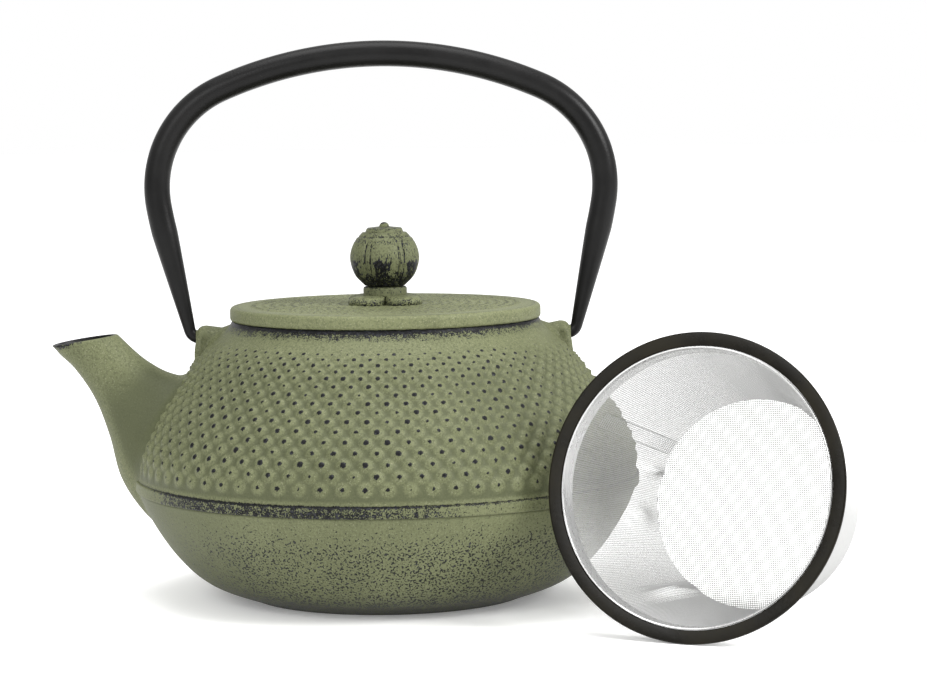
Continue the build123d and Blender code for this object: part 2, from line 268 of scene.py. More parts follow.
def painted_iron(name, speckle=False, grain=0.5, mottle=0.0, along=1.0, tone=1.0, fleck=0.5):
    """Sage paint over cast iron, rubbed back to dark metal.

    The mesh's wear and shade attribute says how much metal shows, from 0 to about 1. Below 0,
    down to -0.5, it is painted shade instead: deep green laid over the paint where shade falls.
    """
    n = Nodes(name)
    split = n.node("ShaderNodeSeparateXYZ", Vector=n.place)
    worn_and_shaded = n.node("ShaderNodeAttribute", {"attribute_name": "wear_and_shade"}).outputs["Fac"]
    clouds = n.noise(24.0, 4.0, 0.6)
    medium = n.noise(650.0, 4.0, 0.6)
    pits = n.noise(1500.0, 3.0, 0.6)
    fine = n.noise(2200.0, 2.0, 0.6, n.stretched((1.0, 1.0, along)))
    base, light = ((tone * r, tone * g, tone * b, 1) for r, g, b, _ in (GREEN, GREEN_LIGHT))
    green = n.blend(n.step(clouds, 0.38, 0.62), base, light)
    green = n.blend(n.step(pits, 0.56, 0.34, 0.0, 0.55 + mottle), green, GREEN_DEEP)
    green = n.blend(n.step(fine, 0.56, 0.74, 0.0, fleck), green, GREEN_PALE)
    # painted shade: below 0 the attribute lays deep green over the paint
    green = n.blend(n.step(worn_and_shaded, 0.0, -0.5, 0.0, 0.80), green, GREEN_DEEP)
    grit = n.math("ADD", n.math("MULTIPLY", fine, 0.6), n.math("MULTIPLY", medium, 0.4))
    bare = n.step(n.math("ADD", grit, n.math("MULTIPLY", worn_and_shaded, 0.5)), 0.735, 0.765)
    if speckle:
        bare = n.math("MAXIMUM", bare, belly_speckle(n, split))
        # painted shade: the paint darkens towards the foot, under the belly
        green = n.blend(n.step(split.outputs["Z"], 0.012, 0.001, 0.0, 0.5), green, GREEN_FOOT_SHADE)
    dusty = n.step(n.noise(1300.0, 2.0, 0.6), 0.50, 0.66)
    greyed = n.math("MULTIPLY", dusty, n.step(worn_and_shaded, 1.05, 0.85))
    colour = n.blend(bare, green, n.blend(greyed, IRON_DARK, IRON_GREY))
    casting = n.math("ADD", n.math("MULTIPLY", medium, 0.7), n.math("MULTIPLY", fine, 0.35))
    n.bump(n.math("SUBTRACT", casting, n.math("MULTIPLY", bare, 0.2)), grain, 0.0004)
    return n.finish(Base_Color=colour, Roughness=n.step(bare, 0.0, 1.0, 0.60, 0.42),
                    Metallic=0.0, Specular_IOR_Level=n.step(bare, 0.0, 1.0, 0.28, 0.14))


def enamel():
    """Dark enamel inside the pot."""
    n = Nodes("inner_enamel")
    n.bump(n.noise(300.0), 0.3, 0.0002)
    tone = n.blend(n.noise(60.0), (0.004, 0.004, 0.004, 1), (0.009, 0.009, 0.010, 1))
    return n.finish(Base_Color=tone, Roughness=0.45, Specular_IOR_Level=0.3)


def handle_paint():
    """Satin black paint with faint smears and grain."""
    n = Nodes("handle_black")
    smear = n.noise(90.0, 5.0, 0.7, n.stretched((0.35, 1.0, 0.35)))
    tone = n.blend(n.step(smear, 0.3, 0.75), (0.0030, 0.0029, 0.0029, 1),
                   (0.0068, 0.0066, 0.0065, 1))
    n.bump(n.noise(1400.0), 0.35, 0.00012)
    return n.finish(Base_Color=tone, Roughness=n.step(smear, 0.2, 0.8, 0.28, 0.42),
                    Specular_IOR_Level=0.135)


def rim_painted_reflection():
    """Glossy near-black rim, warm olive tint: a painted reflection of dark surroundings in steel.
    """
    n = Nodes("rim_painted_reflection")
    smear = n.noise(45.0, 4.0, 0.6)
    tone = n.blend(n.step(smear, 0.35, 0.7), (0.0030, 0.0024, 0.0010, 1),
                   (0.0085, 0.0070, 0.0030, 1))
    n.bump(n.noise(700.0), 0.25, 0.0001)
    return n.finish(Base_Color=tone, Roughness=n.step(smear, 0.2, 0.8, 0.20, 0.40),
                    Specular_IOR_Level=0.12)


def steel(name, tone, roughness, along=(1.0, 1.0, 1.0), metal=0.85):
    """Stainless steel, lightly brushed."""
    n = Nodes(name)
    brush = n.noise(900.0, 3.0, 0.6, n.stretched(along))
    low, high = (tone * 0.86, tone * 0.86, tone * 0.86, 1), (tone, tone, tone * 0.985, 1)
    n.bump(brush, 0.15, 0.00005)
    return n.finish(Base_Color=n.blend(brush, low, high), Metallic=metal,
                    Roughness=n.step(brush, 0.3, 0.7, roughness * 0.8, roughness * 1.2))


PAINT = painted_iron("paint_on_iron", mottle=0.15, fleck=0.75)
PAINT_SPECKLED = painted_iron("paint_speckled", speckle=True, grain=0.4)
PAINT_BRUSHED = painted_iron("paint_brushed", grain=0.6, mottle=0.25, along=0.25)
PAINT_MOTTLED = painted_iron("paint_mottled", grain=0.7, mottle=0.15, tone=1.25, fleck=1.0)
# lighter copy of the paint for the lid's side: painted light, where more light falls on it
PAINT_LIT_COPY = painted_iron("paint_lit_copy", tone=1.2, fleck=1.0)
ENAMEL = enamel()
HANDLE_PAINT = handle_paint()
# painted reflection: the rim's near-black colour stands for dark surroundings mirrored in steel
RIM_PAINTED_REFLECTION = rim_painted_reflection()
COLLAR_STEEL = steel("collar_steel", 0.52, 0.30, (1.0, 1.0, 0.1))
WIRE_STEEL = steel("wire_steel", 0.43, 0.55, metal=0.6)
# darker copy of the wire steel for the infuser's floor: painted shade
FLOOR_WIRE_SHADED_STEEL = steel("floor_wire_shaded_steel", 0.26, 0.55, metal=0.6)
PLAIN_STEEL = steel("plain_steel", 0.45, 0.45)

# ---- Pot body --------------------------------------------------------------------------
lower_line = smooth_line(LOWER_SIDE, 200)
upper_line = smooth_line(UPPER_SIDE, 400)
HOBNAIL_COUNT = 74
PITCH = 2 * pi / HOBNAIL_COUNT
ROW_STEP = 0.0405          # a little under the step between rows, as a share of the radius
CLOSER_FROM = 11           # the rows from this one up stand closer together
ROW_TOPS = [ROW_STEP * (1.55 + 1.145 * min(k, CLOSER_FROM) + 0.96 * max(k - CLOSER_FROM, 0))
            for k in range(17)]
SAMPLES_ACROSS = 12        # mesh columns for each hobnail
SAMPLES_UP = 6             # mesh rows for each row of hobnails
HOBNAIL_HEIGHT = 0.27      # as a share of the spacing within a row
FRONT_RUBBED = radians(97)  # where the tips are rubbed most, from the right-hand lug


def body_radius(z):
    """Outer radius of the plain body at a height."""
    upper = np.interp(z, upper_line[:, 1], upper_line[:, 0])
    lower = np.interp(z, lower_line[:, 1], lower_line[:, 0])
    return np.where(np.asarray(z) > BAND_LOW, upper, lower)


def spout_cover(x, y, z):
    """1 where the spout's root covers the shoulder, 0 well away from it."""
    across = np.abs(y) / 17.0
    up = (z - 48.0) / 27.0
    near = np.sqrt(across ** 2 + up ** 2)
    return np.where(x < 0, 1 - ease(near, 0.92, 1.12), 0.0)


def lug_cover(x, y, z):
    """1 beside the lugs."""
    near = np.sqrt((np.abs(y) / 6.4) ** 2 + ((z - 84.0) / 9.0) ** 2)
    return np.where(np.abs(x) > 40, 1 - ease(near, 0.75, 1.15), 0.0)


def hobnails(at, angle, start):
    """Share of a hobnail's height, and of the way in to its tip, at each mesh point."""
    rise = np.zeros((len(at), len(angle)))
    tip = np.zeros((len(at), len(angle)))
    for k, centre in enumerate(ROW_TOPS):
        rows = np.nonzero(np.abs(at - centre) < ROW_STEP * 1.2)[0]
        for j in range(-1, HOBNAIL_COUNT // 2 + 2):
            middle = start + (j + 0.5 * ((k + 1) % 2)) * PITCH
            columns = np.nonzero(np.abs(angle - middle) < PITCH * 0.62)[0]
            if not len(columns):
                continue
            place = int(round(middle / PITCH * 2)) % (2 * HOBNAIL_COUNT)
            uneven = np.sin(place * 12.9898 + k * 78.233) * 43758.5453
            uneven = uneven - np.floor(uneven)
            up = (at[rows] - centre)[:, None] / (ROW_STEP * 1.14)
            over = (angle[columns] - middle)[None, :] / (PITCH * 0.56)
            cone = np.clip(1 - np.sqrt(up ** 2 + over ** 2), 0, 1)
            block = np.ix_(rows, columns)
            rise[block] = np.maximum(rise[block], cone ** 1.25 * (0.88 + 0.24 * uneven))
            tip[block] = np.maximum(tip[block], cone * (0.93 + 0.14 * uneven))
    return rise, tip


def shoulder_wear_and_shade(at, z, angle, tip, fade, clear, free):
    """Rubbed tips, painted shade in the valleys, the speckled neck and the groove above the band.

    The tips are rubbed most on the front left, and least low down and on the right.
    """
    turned = np.abs((angle + pi) % (2 * pi) - pi)
    facing = 1 - ease(np.abs(turned - FRONT_RUBBED), radians(40), radians(66))
    low_right = (1 - ease(at, 0.12, 0.34))[:, None] * (1 - ease(turned, radians(50), radians(100)))
    low_rows = (1 - ease(at, 0.06, 0.17))[:, None]
    size = (0.255 + 0.05 * facing[None, :]) * (1 - 0.28 * low_right) * (1 - 0.30 * low_rows)
    top_fade = (1 - ease(at, ROW_TOPS[14], ROW_TOPS[16] + 1.2 * ROW_STEP))[:, None]
    # painted shade: deep green in the valleys between hobnails
    valley_shade = -0.5 * (1 - ease(tip, 0.15, 0.62)) * fade * clear
    wear_and_shade = np.clip((tip - 1 + size) / size * 1.7, 0, 1.25) * top_fade * clear
    wear_and_shade = wear_and_shade * (0.46 + 0.54 * facing[None, :]) + np.where(wear_and_shade > 0, 0, valley_shade)
    neck = (0.42 * ease(z, 85.8, 88.8) + 0.10 * ease(z, 88.4, 89.6)
            + 0.34 * ease(z, 89.6, MOUTH_Z - 0.2))
    neck = neck[:, None] * (0.84 + 0.22 * np.cos(turned - radians(115))[None, :])
    groove = 0.70 * (1 - ease(at, 0.0, 0.010))[:, None] * free
    cover = np.maximum(neck, groove)
    return np.where(cover > 0.02, np.maximum(wear_and_shade, cover), wear_and_shade)


def shoulder_piece(name, start):
    """Half of the hobnailed shoulder, from the band up to the mouth."""
    lengths = np.linalg.norm(np.diff(upper_line, axis=0), axis=1)
    run = np.concatenate([[0], np.cumsum(lengths / upper_line[1:, 0])])
    rows = int(run[-1] / ROW_STEP * SAMPLES_UP) + 1
    at = np.linspace(0, run[-1], rows)
    r = np.interp(at, run, upper_line[:, 0])
    z = np.interp(at, run, upper_line[:, 1])
    normal_r, normal_z = np.gradient(z), -np.gradient(r)
    size = np.hypot(normal_r, normal_z)
    normal_r, normal_z = normal_r / size, normal_z / size
    columns = HOBNAIL_COUNT * SAMPLES_ACROSS // 2 + 1
    angle = start + np.linspace(0, pi, columns)
    rise, tip = hobnails(at, angle, start)
    fade = 1 - ease(at, ROW_TOPS[12], ROW_TOPS[16] + ROW_STEP)
    fade = (fade * ease(at, 0.1 * ROW_STEP, 0.7 * ROW_STEP))[:, None]
    x, y = r[:, None] * np.cos(angle), r[:, None] * np.sin(angle)
    across_z = np.repeat(z[:, None], columns, 1)
    free = 1 - spout_cover(x, y, across_z)
    clear = free * (1 - lug_cover(x, y, across_z))
    height = rise * fade * clear * (HOBNAIL_HEIGHT * PITCH * r[:, None])
    height = height * (0.45 + 0.55 * ease(at, 0.05, 0.135))[:, None]
    radius = r[:, None] + height * normal_r[:, None]
    points = np.stack([radius * np.cos(angle), radius * np.sin(angle),
                       across_z + height * normal_z[:, None]], -1)
    wear_and_shade = shoulder_wear_and_shade(at, z, angle, tip, fade, clear, free)
    add_mesh(name, points, grid_faces(rows, columns, closed=False), "pot", PAINT,
             ("pot_casting",), wear_and_shade)


def lower_piece():
    """Foot, lower side and belly band."""
    columns = 480
    under = [(0.01, 0.0), (20.0, 0.0), (40.0, 0.0)]
    side = lower_line[::3]
    band = rounded([(BELLY_R - 0.3, BAND_LOW - 0.1), (BAND_R, BAND_LOW), (BAND_R, BAND_HIGH - 0.1),
                    (BELLY_R - 0.5, BAND_HIGH + 0.1)], [0, 0.55, 0.55, 0], 6)
    flat = [(BAND_R, z) for z in np.linspace(BAND_LOW + 0.8, BAND_HIGH - 0.9, 9)]
    band = np.vstack([band[:7], flat, band[7:]])
    outline = np.vstack([under, side, band])
    points = turned_grid(outline, columns)
    angle = np.linspace(0, 2 * pi, columns, endpoint=False)
    on_band = (outline[:, 1] > BAND_LOW - 0.05).astype(float)[:, None]
    left = 0.5 - 0.5 * np.cos(angle)[None, :]
    low_on_band = 1 - ease(outline[:, 1], 37.4, 39.0)[:, None]
    top_edge = ease(outline[:, 1], 39.2, 39.7)[:, None]
    rubbed = 0.27 + 0.26 * ease(left, 0.25, 0.60) + 0.06 * low_on_band + 0.25 * top_edge
    from_spout = np.abs((angle + pi / 2) % (2 * pi) - pi / 2 - pi)[None, :]
    wear_and_shade = on_band * rubbed * ease(from_spout, 0.20, 0.66)
    # painted shade: the lower side darkens towards the left
    wear_and_shade = wear_and_shade - 0.30 * (1 - on_band) * ease(left, 0.62, 0.90)
    add_mesh("pot_lower", points, grid_faces(len(outline), columns), "pot",
             PAINT_SPECKLED, ("pot_casting",), wear_and_shade)


def inside_piece():
    """Mouth edge, rebate, throat and cavity, with a hole for the spout's channel."""
    columns = 240
    hole_half, hole_z, hole_half_z = 10.5, 53.0, 17.0
    low = [(r - WALL, z + WALL / 2) for r, z in reversed(LOWER_SIDE[1:4])]
    side = [(r - WALL, z) for r, z in UPPER_SIDE[1:4]]
    cavity = smooth_line([(THROAT_R, THROAT_LOW_Z), *reversed(side),
                          (BELLY_R - WALL, (BAND_LOW + BAND_HIGH) / 2), *low,
                          (FOOT_R - WALL, FLOOR_Z)], 90)
    mouth = rounded([(50.6, MOUTH_Z), (SEAT_R, MOUTH_Z), (SEAT_R, MOUTH_Z - SEAT_DEPTH),
                     (THROAT_R, MOUTH_Z - SEAT_DEPTH), (THROAT_R, THROAT_LOW_Z)],
                    [0, 0.35, 0.3, 0.4, 0], 4)
    outline = np.vstack([mouth, cavity[1:], [(20.0, FLOOR_Z), (0.01, FLOOR_Z)]])
    points = turned_grid(outline, columns)
    faces = []
    for quad in grid_faces(len(outline), columns):
        centre = points.reshape(-1, 3)[list(quad)].mean(0)
        across, up = centre[1] / hole_half, (centre[2] - hole_z) / hole_half_z
        if centre[0] < 0 and across ** 2 + up ** 2 < 1:
            continue
        faces.append(quad)
    add_mesh("pot_inside", points, faces, "pot", ENAMEL, ("pot_casting",))


# ---- Spout and lugs, blended into the body ---------------------------------------------
def spout_table():
    """Centre, half run vector and half width along the spout, evenly parameterised."""
    rows = np.array([[*low, *high, width] for low, high, width in SPOUT_SECTIONS])
    return smooth_line(rows, 300)


SPOUT = spout_table()


def spout_point(u, v, thinner=0.0):
    """Point on the spout at share u of its run and angle v round its section."""
    shares = np.linspace(0, 1, len(SPOUT))
    at = np.array([np.interp(u, shares, SPOUT[:, k]) for k in range(5)])
    low, high, width = at[:2], at[2:4], at[4]
    middle, half = (low + high) / 2, (high - low) / 2
    length = np.linalg.norm(half)
    along = half / length
    reach = (length - thinner) * cos(v)
    return np.array([middle[0] + along[0] * reach, (width - thinner) * sin(v),
                     middle[1] + along[1] * reach])


def find(value, low, high):
    """Where a rising function of one number crosses zero."""
    for _ in range(32):
        middle = (low + high) / 2
        if value(middle) > 0:
            high = middle
        else:
            low = middle
    return (low + high) / 2


def outside_body(point):
    """How far a point stands out of the plain body."""
    return np.hypot(point[0], point[1]) - float(body_radius(point[2]))


def onto_body(point, sink=0.25):
    """Nearest point of the body at the same height, a little under its surface."""
    scale = (float(body_radius(point[2])) - sink) / np.hypot(point[0], point[1])
    return np.array([point[0] * scale, point[1] * scale, point[2]])


def curve(a, b, c, steps):
    """Points from a to c, drawn towards b."""
    t = np.linspace(0, 1, steps)[:, None]
    return (1 - t) ** 2 * a + 2 * t * (1 - t) * b + t ** 2 * c


SKIRT_STEPS, WALL_STEPS, LIP_STEPS = 14, 41, 8
LIP_SINK = 0.25            # the wall ends this far below the plane of the lip


def spout_pieces():
    """Outer skin with a soft root and rounded lip, and the dark channel inside."""
    count = 128
    around = [2 * pi * j / count for j in range(count)]
    rise, run = SPOUT_HEEL[1] - SPOUT_TIP[1], SPOUT_HEEL[0] - SPOUT_TIP[0]
    up = np.array([-rise, 0, run]) / np.hypot(rise, run)
    tip = np.array([SPOUT_TIP[0], 0, SPOUT_TIP[1]])
    crossings = [find(lambda u: outside_body(spout_point(u, v)), 0.02, 0.75) for v in around]
    foot = np.array([spout_point(u, v) for u, v in zip(crossings, around)])
    middle = foot.mean(0)
    # painted shade darkens the hollow of the root, and the lip is rubbed bare
    row = np.arange(SKIRT_STEPS + WALL_STEPS + LIP_STEPS)
    lip_row = SKIRT_STEPS + WALL_STEPS
    hollow_shade = np.interp(row, [0, 6, 26, 41], [0, -0.5, -0.5, 0])
    rubbed = np.interp(row, lip_row + np.array([-6, -5, -1, 0, 3]), [0, 0.1, 0.7, 0.75, 0.9])
    skin, channel, worn_and_shaded = [], [], []
    for v, crossing, root in zip(around, crossings, foot):
        away = (root - middle) * (0, 1, 1)
        away = away / np.linalg.norm(away)
        skirt_end = onto_body(onto_body(root, 0) + away * (4.0 + 2.0 * abs(sin(v))))
        low = crossing + 0.06
        top = find(lambda u: (spout_point(u, v) - tip) @ up + LIP_SINK, low, 1.0)
        inner_top = find(lambda u: (spout_point(u, v, LIP_WALL) - tip) @ up + LIP_SINK, 0.5, 1.0)
        skirt = curve(skirt_end, onto_body(root, 0), spout_point(low, v), SKIRT_STEPS)
        tip_side = ease(-spout_point(top, v)[0], 96.0, 108.0)
        wall = []
        for u in np.linspace(low, top, WALL_STEPS + 1)[1:]:
            point = spout_point(u, v)
            swell = 0.6 * tip_side * np.exp(-(((tip - point) @ up - LIP_SINK) / 1.1) ** 2)
            wall.append(point + (point - spout_point(u, v, 1.0)) * swell)
        lip_out, lip_in = wall[-1], spout_point(inner_top, v, LIP_WALL)
        lip = curve(lip_out, (lip_out + lip_in) / 2 + up * 0.5, lip_in, LIP_STEPS + 1)[1:]
        skin.append([*skirt, *wall, *lip])
        flank = ease(cos(v), -0.85, -0.45) * ease(abs(sin(v)), 0.10, 0.55)
        # painted shade on the flanks of the root, plus the rubbed lip
        paint = rubbed * (0.35 + 0.65 * tip_side) + hollow_shade * flank
        worn_and_shaded.append(np.where(row < lip_row + 4, paint, 1.1))
        thicker = SPOUT_WALL - LIP_WALL
        channel.append([spout_point(u, v, LIP_WALL + thicker * ease(inner_top - u, 0, 0.15))
                        for u in np.linspace(inner_top, 0.10, 26)])
    skin = np.array(skin).transpose(1, 0, 2)
    channel = np.array(channel).transpose(1, 0, 2)
    add_mesh("pot_spout", skin, grid_faces(len(skin), count, flip=True), "pot",
             PAINT, ("pot_casting",), np.array(worn_and_shaded).T)
    add_mesh("pot_spout_channel", channel, grid_faces(len(channel), count, flip=True), "pot",
             ENAMEL, ("pot_casting",))


LUG_LOW_Z, LUG_ROUND = 77.0, 2.0


def lug_section(y, z, side):
    """Line from the body over the lug's flank and rounded edge into the pin's hole."""
    def body_x(y, z):
        return sqrt(max(float(body_radius(z)) ** 2 - y * y, 1)) - side * PIVOT[0]

    out = np.array([0, y, z - PIVOT[2]])
    out = out / np.linalg.norm(out)
    upward = max(out[2], 0)
    meet = min(body_x(y, z), LUG_FACE - LUG_ROUND - 0.3)
    spread = 2.2 - 1.6 * upward
    foot_y, foot_z = y + out[1] * spread, z + max(out[2], -0.2) * spread
    foot_x = min(body_x(foot_y, min(foot_z, 90.9)) - 0.25, LUG_FACE - LUG_ROUND)
    foot = np.array([foot_x, foot_y, min(foot_z, 90.6)])
    root = np.array([meet, y, z])
    flank_x = min(meet + 2.6, LUG_FACE - LUG_ROUND - 1.6)
    flank = np.array([flank_x, y * 0.80, z - 0.7 * upward])
    corner_r = LUG_ROUND + 1.2 * upward
    corner = np.array([LUG_FACE - 0.3 + 0.8 * float(ease(88.0 - z, 0.0, 9.0)), y, z])
    line = [*curve(foot, root, flank, 9)]
    line += [*curve(corner - (corner_r, 0, 0), corner, corner - out * corner_r * 0.85, 8)]
    hole = np.array([LUG_FACE, 0, PIVOT[2]]) + out * LUG_HOLE_R
    last = line[-1]
    line += [last + (hole - last) * s for s in np.linspace(0, 1, 6)[1:]]
    return line + [hole - (depth, 0, 0) for depth in (0.4, LUG_HOLE_DEPTH)]


def lug_piece(name, side):
    """Ear with a round top and a soft root, and a blind hole for the handle's pin."""
    arch = [(-LUG_R * cos(a), PIVOT[2] + LUG_R * sin(a)) for a in np.linspace(0, pi, 40)]
    foot = LUG_FOOT_HALF - 0.6
    outline = smooth_line([(-foot, LUG_LOW_Z), *arch, (foot, LUG_LOW_Z)], 61)
    points = np.array([lug_section(y, z, side) for y, z in outline]).transpose(1, 0, 2)
    points[..., 0] = points[..., 0] * side + PIVOT[0]
    rows, columns = points.shape[:2]
    worn_and_shaded = np.zeros((rows, columns))
    worn_and_shaded[9:14] = 0.22
    add_mesh(name, points, grid_faces(rows, columns, closed=False, flip=side < 0), "pot",
             PAINT, ("pot_casting",), worn_and_shaded)


# ---- Lid and knob ----------------------------------------------------------------------
RING_STEP, BEAD_STEP, BEAD_H = 3.1, 2.6, 0.40


def lid_pieces():
    """Disc with low beads in rings inside a plain border, and a locating skirt below."""
    columns = 640
    top_r = np.concatenate([[1.8, 8.0, 13.0], np.linspace(14.0, 46.6, 112),
                            [47.2, 48.2, LID_R - 1.8]])
    crown = LID_EDGE_H + LID_CROWN * (1 - (top_r / LID_R) ** 2)
    points = turned_grid(np.stack([top_r, crown], 1), columns)
    angle = np.linspace(0, 2 * pi, columns, endpoint=False)
    relief = np.zeros((len(top_r), columns))
    for ring in range(5, 15):
        radius = ring * RING_STEP
        beads = int(2 * pi * radius / BEAD_STEP)
        across = np.clip(1 - np.abs(top_r - radius) / (RING_STEP * 0.5), 0, 1)
        around = 0.5 + 0.5 * np.cos(angle * beads + ring * pi)
        relief += np.sqrt(across)[:, None] * around[None, :] ** 0.8
    points[..., 2] += relief * BEAD_H + LID_Z
    wear_and_shade = 0.26 + ease(relief, 0.35, 0.9) * 0.22
    wear_and_shade = np.where(top_r[:, None] > 46.4, 0.22 + 0.25 * (top_r[:, None] > 48.5), wear_and_shade)
    add_mesh("lid_top", points, grid_faces(len(top_r), columns, flip=True), "lid",
             PAINT_MOTTLED, ("lid_casting",), wear_and_shade)
    columns = 288
    edge = rounded([(LID_R - 3.0, LID_EDGE_H), (LID_R, LID_EDGE_H), (LID_R, 0), (LID_R - 3.0, 0)],
                   [0, 1.6, 1.2, 0], 8)[1:-1]
    under = [(SKIRT_R + 0.5, 0.0), (SKIRT_R, -0.4), (SKIRT_R - 0.1, -SKIRT_DROP + 0.6),
             (SKIRT_R - 0.8, -SKIRT_DROP), (SKIRT_R - SKIRT_WALL + 0.6, -SKIRT_DROP),
             (SKIRT_R - SKIRT_WALL, -SKIRT_DROP + 0.6), (SKIRT_R - SKIRT_WALL, LID_RECESS),
             (20.0, LID_RECESS), (1.8, LID_RECESS)]
    outline = np.vstack([[(LID_R - 1.9, LID_EDGE_H - 0.02)], edge, under])
    points = turned_grid(outline, columns)
    points[..., 2] += LID_Z
    bevel = np.full(len(outline), 0.05)
    bevel[:3] = 0.30
    bevel[13:17] = 0.55
    # the lid's side takes the lighter copy of the paint, painted light
    add_mesh("lid_body", points, grid_faces(len(outline), columns, flip=True), "lid",
             PAINT_LIT_COPY, ("lid_casting",), np.repeat(bevel[:, None], columns, 1))


def plinth_piece():
    """Four plump petals."""
    columns = 288
    angle = np.linspace(0, 2 * pi, columns, endpoint=False)
    outline = np.zeros(columns)
    for i in range(PETALS):
        turn = 2 * pi / PETALS * (i + 0.5)
        gap = angle - turn
        inside = PETAL_R ** 2 - (PETAL_OFFSET * np.sin(gap)) ** 2
        reach = PETAL_OFFSET * np.cos(gap) + np.sqrt(np.clip(inside, 0, None))
        outline = np.maximum(outline, np.where((inside > 0) & (np.cos(gap) > 0), reach, 0))
    outline = np.maximum(outline, 7.0)
    full_h = PLINTH_H + 0.2
    # share of the outline, height and wear, from the foot up
    rows = np.array([(0.02, 0.0, 0.6), (0.97, 0.0, 0.6), (0.99, 0.4, 0.55), (1.0, 1.1, 0.48),
                     (0.99, 1.8, 0.44), (0.95, 2.45, 0.40), (0.86, 2.9, 0.36),
                     (0.72, full_h, 0.32), (0.4, full_h, 0.3), (0.02, full_h, 0.3)])
    share, height, wear_and_shade = rows[:, :1], rows[:, 1:2], rows[:, 2:]
    points = np.stack([outline * share * np.cos(angle), outline * share * np.sin(angle),
                       LID_TOP - 0.2 + height + 0 * angle], -1)
    add_mesh("plinth_petals", points, grid_faces(len(rows), columns), "lid",
             PAINT_MOTTLED, ("knob_plinth",), np.repeat(wear_and_shade, columns, 1))


def neck_piece():
    """Ring under the ball, rubbed dark at its top."""
    low = LID_TOP + PLINTH_H
    high = low + KNOB_NECK_H
    outline = rounded([(2.0, low - 0.3), (KNOB_NECK_R, low - 0.3), (KNOB_NECK_R, high - 0.4),
                       (2.0, high)], [0, 0.3, 0.9, 0], 6)
    points = turned_grid(outline, 128)
    wear_and_shade = 0.34 + 0.22 * ease(points[..., 2], low + 2.0, low + 3.0)
    add_mesh("neck_ring", points, grid_faces(len(outline), 128), "lid", PAINT,
             ("knob_neck",), wear_and_shade)


LOBES = 6


def ball_piece():
    """Six-lobed ball: a shallow dip between each two lobes, edged by two fine grooves."""
    columns, rows = 432, 90
    low = LID_TOP + PLINTH_H + KNOB_NECK_H
    side = smooth_line(BALL_SIDE, rows)
    side = np.vstack([[(2.0, 0.0)], side, [(2.0, BALL_H)]])
    points = turned_grid(side, columns)
    angle = np.linspace(0, 2 * pi, columns, endpoint=False)
    lobe = 2 * pi / LOBES
    off = (angle + lobe / 2) % lobe - lobe / 2
    cut = np.exp(-((np.abs(off) - 0.085) / 0.032) ** 2)
    bulge = -0.30 * np.exp(-(off / 0.20) ** 2)
    body = ease(side[:, 1], 0.3, 3.0) * (1 - ease(side[:, 1], 13.6, 16.0))
    change = body[:, None] * (bulge - 0.30 * cut)[None, :]
    height = side[:, 1][:, None]
    ring_cut = (np.exp(-((height - 16.1) / 0.22) ** 2)
                + 0.6 * np.exp(-((height - 14.7) / 0.22) ** 2))
    change = change - 0.20 * ring_cut
    scale = 1 + change / np.maximum(side[:, 0], 4)[:, None]
    points[..., 0] *= scale
    points[..., 1] *= scale
    mid = np.exp(-(off / 0.30) ** 2)
    lobes = ease(np.cos(LOBES * (angle + radians(95))), -0.75, 0.5)[None, :]
    patch = 0.64 * lobes * (1 - ease(height, 7.5, 10.5))
    lower = np.maximum(patch, 0.64 - 0.30 * ease(height, 1.2, 6.5))
    grooves = body[:, None] * cut[None, :] * 0.62
    upper = 0.26 + 0.10 * ease(height, 12.0, 15.0) + 0.06 * mid[None, :]
    wear_and_shade = np.maximum(np.maximum(lower, grooves), ring_cut * 0.12 + upper)
    points[..., 2] += low
    add_mesh("ball_lobed", points, grid_faces(len(side), columns), "lid",
             PAINT_BRUSHED, ("knob_ball",), wear_and_shade)


def cap_piece():
    """Slightly wavy disc on top of the ball."""
    low = LID_TOP + PLINTH_H + KNOB_NECK_H + BALL_H
    outline = rounded([(2.0, low - 0.3), (CAP_R, low - 0.3), (CAP_R - 0.6, low + 1.35),
                       (2.0, low + CAP_H + 0.15)], [0, 0.3, 0.6, 0], 6)
    columns = 160
    points = turned_grid(outline, columns)
    turn = np.linspace(0, 2 * pi, columns, endpoint=False)
    points[..., 2] += 0.12 * np.sin(5 * turn + 0.6) * (outline[:, 0] / CAP_R)[:, None]
    wear_and_shade = 0.34 + 0.16 * ease(points[..., 2], low + 0.8, low + 1.4)
    add_mesh("cap_disc", points, grid_faces(len(outline), columns), "lid", PAINT,
             ("knob_cap",), wear_and_shade)


def rivet_piece():
    """Pin through the knob, with its peened end under the lid and its dome on the cap."""
    top = LID_TOP + PLINTH_H + KNOB_NECK_H + BALL_H + CAP_H
    under = LID_Z + LID_RECESS - 1.0
    arc = np.linspace(0, pi / 2, 14)
    dome = np.stack([NUB_R * np.cos(arc) + 0.01, top - 0.1 + 1.75 * np.sin(arc)], 1)
    peened = [(0.01, under - 0.9), (2.2, under - 0.85), (2.8, under - 0.5), (3.0, under),
              (1.7, under)]
    outline = np.vstack([peened, [(1.7, top - 1.2), (NUB_R, top - 0.6)], dome])
    points = turned_grid(outline, 64)
    wear_and_shade = 0.35 + 0.45 * ease(points[..., 2], top + 0.8, top + 1.7)
    add_mesh("rivet_pin", points, grid_faces(len(outline), 64), "lid", PAINT,
             ("knob_rivet",), wear_and_shade)


# ---- Handle ----------------------------------------------------------------------------
BEND_STEPS = (34, 60, 8)   # mesh rows along each bend
TAPER_STEPS, HOOK_STEPS = 30, 14


